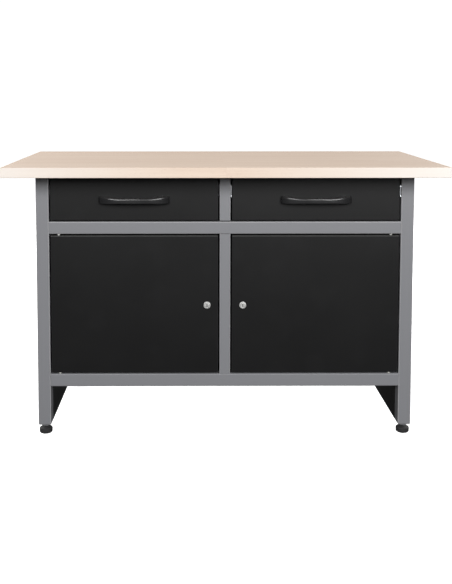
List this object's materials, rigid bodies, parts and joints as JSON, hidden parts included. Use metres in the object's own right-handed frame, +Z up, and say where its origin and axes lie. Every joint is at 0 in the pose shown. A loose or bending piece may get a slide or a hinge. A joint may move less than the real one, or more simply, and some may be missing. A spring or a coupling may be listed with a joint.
{
  "type": "workbench with cabinet doors",
  "caption": "Steel workbench with a beech worktop, side-by-side drawers on ball runners over lockable pivot-hung cupboard doors, and levelling feet.",
  "frame": {"origin": "on the floor, under the middle of the worktop", "axes": "+X to the right along the bench, +Y to the back, +Z up; the drawers and doors face -Y"},
  "size_m": [1.2, 0.6, 0.765],
  "materials": {
    "beech": "sanded and oiled",
    "grey_paint": "satin powder coat",
    "black_paint": "satin powder coat",
    "zinc": "zinc plated",
    "nickel": "nickel plated",
    "black_plastic": "fine grain",
    "nylon": "plain"
  },
  "bodies": {
    "base": {"worktop": "beech", "leg_front_left": "grey_paint", "leg_front_right": "grey_paint", "leg_rear_left": "grey_paint", "leg_rear_right": "grey_paint", "side_panel_left": "black_paint", "side_panel_right": "black_paint", "back_panel": "black_paint", "middle_rail": "grey_paint", "bottom_rail": "grey_paint", "rear_rail": "grey_paint", "upper_stile": "grey_paint", "lower_stile": "grey_paint", "partition_left_sheet": "black_paint", "partition_right_sheet": "black_paint", "floor_panel": "black_paint", "cabinet_runner_left_outer": "zinc", "cabinet_runner_left_inner": "zinc", "cabinet_runner_right_outer": "zinc", "cabinet_runner_right_inner": "zinc", "pivot_bush_left_upper": "nylon", "pivot_bush_left_lower": "nylon", "pivot_bush_right_upper": "nylon", "pivot_bush_right_lower": "nylon"},
    "door_left": {"door_left": "black_paint", "hinge_pin_left_upper": "zinc", "hinge_pin_left_lower": "zinc", "lock_body_left": "nickel", "lock_nut_left": "zinc"},
    "door_right": {"door_right": "black_paint", "hinge_pin_right_upper": "zinc", "hinge_pin_right_lower": "zinc", "lock_body_right": "nickel", "lock_nut_right": "zinc"},
    "drawer_left": {"drawer_front_left": "black_paint", "drawer_box_left": "black_paint", "drawer_handle_left": "black_plastic", "handle_screw_left_1": "zinc", "handle_screw_left_2": "zinc", "drawer_runner_left_outer": "zinc", "drawer_runner_left_inner": "zinc"},
    "drawer_right": {"drawer_front_right": "black_paint", "drawer_box_right": "black_paint", "drawer_handle_right": "black_plastic", "handle_screw_right_1": "zinc", "handle_screw_right_2": "zinc", "drawer_runner_right_outer": "zinc", "drawer_runner_right_inner": "zinc"},
    "ball_cages_left": {"ball_cage_left_outer": "zinc", "ball_cage_left_inner": "zinc"},
    "ball_cages_right": {"ball_cage_right_outer": "zinc", "ball_cage_right_inner": "zinc"},
    "lock_left": {"lock_plug_left": "nickel", "lock_cam_left": "zinc"},
    "lock_right": {"lock_plug_right": "nickel", "lock_cam_right": "zinc"},
    "foot_front_left": {"foot_front_left": "black_plastic"},
    "foot_front_right": {"foot_front_right": "black_plastic"},
    "foot_rear_left": {"foot_rear_left": "black_plastic"},
    "foot_rear_right": {"foot_rear_right": "black_plastic"}
  },
  "joints": [
    {"name": "door_left_swing", "type": "hinge", "parent": "base", "child": "door_left", "pos_m": [-0.463, -0.19, 0.372], "axis": [0, 0, -1], "range_deg": [0, 100]},
    {"name": "door_right_swing", "type": "hinge", "parent": "base", "child": "door_right", "pos_m": [0.463, -0.19, 0.372], "axis": [0, 0, 1], "range_deg": [0, 100]},
    {"name": "drawer_left_slide", "type": "slide", "parent": "base", "child": "drawer_left", "axis": [0, -1, 0], "range_m": [0, 0.3]},
    {"name": "drawer_right_slide", "type": "slide", "parent": "base", "child": "drawer_right", "axis": [0, -1, 0], "range_m": [0, 0.3]},
    {"name": "ball_cages_left_roll", "type": "slide", "parent": "base", "child": "ball_cages_left", "axis": [0, -1, 0], "range_m": [0, 0.15]},
    {"name": "ball_cages_right_roll", "type": "slide", "parent": "base", "child": "ball_cages_right", "axis": [0, -1, 0], "range_m": [0, 0.15]},
    {"name": "lock_left_turn", "type": "hinge", "parent": "door_left", "child": "lock_left", "pos_m": [-0.05, -0.2, 0.37], "axis": [0, 1, 0], "range_deg": [0, 90]},
    {"name": "lock_right_turn", "type": "hinge", "parent": "door_right", "child": "lock_right", "pos_m": [0.05, -0.2, 0.37], "axis": [0, -1, 0], "range_deg": [0, 90]},
    {"name": "screw_foot_front_left", "type": "slide", "parent": "base", "child": "foot_front_left", "axis": [0, 0, -1], "range_m": [-0.006, 0.012]},
    {"name": "screw_foot_front_right", "type": "slide", "parent": "base", "child": "foot_front_right", "axis": [0, 0, -1], "range_m": [-0.006, 0.012]},
    {"name": "screw_foot_rear_left", "type": "slide", "parent": "base", "child": "foot_rear_left", "axis": [0, 0, -1], "range_m": [-0.006, 0.012]},
    {"name": "screw_foot_rear_right", "type": "slide", "parent": "base", "child": "foot_rear_right", "axis": [0, 0, -1], "range_m": [-0.006, 0.012]}
  ],
  "couplings": [
    {"joint": "ball_cages_left_roll", "follows": "drawer_left_slide", "ratio": 0.5},
    {"joint": "ball_cages_right_roll", "follows": "drawer_right_slide", "ratio": 0.5}
  ]
}
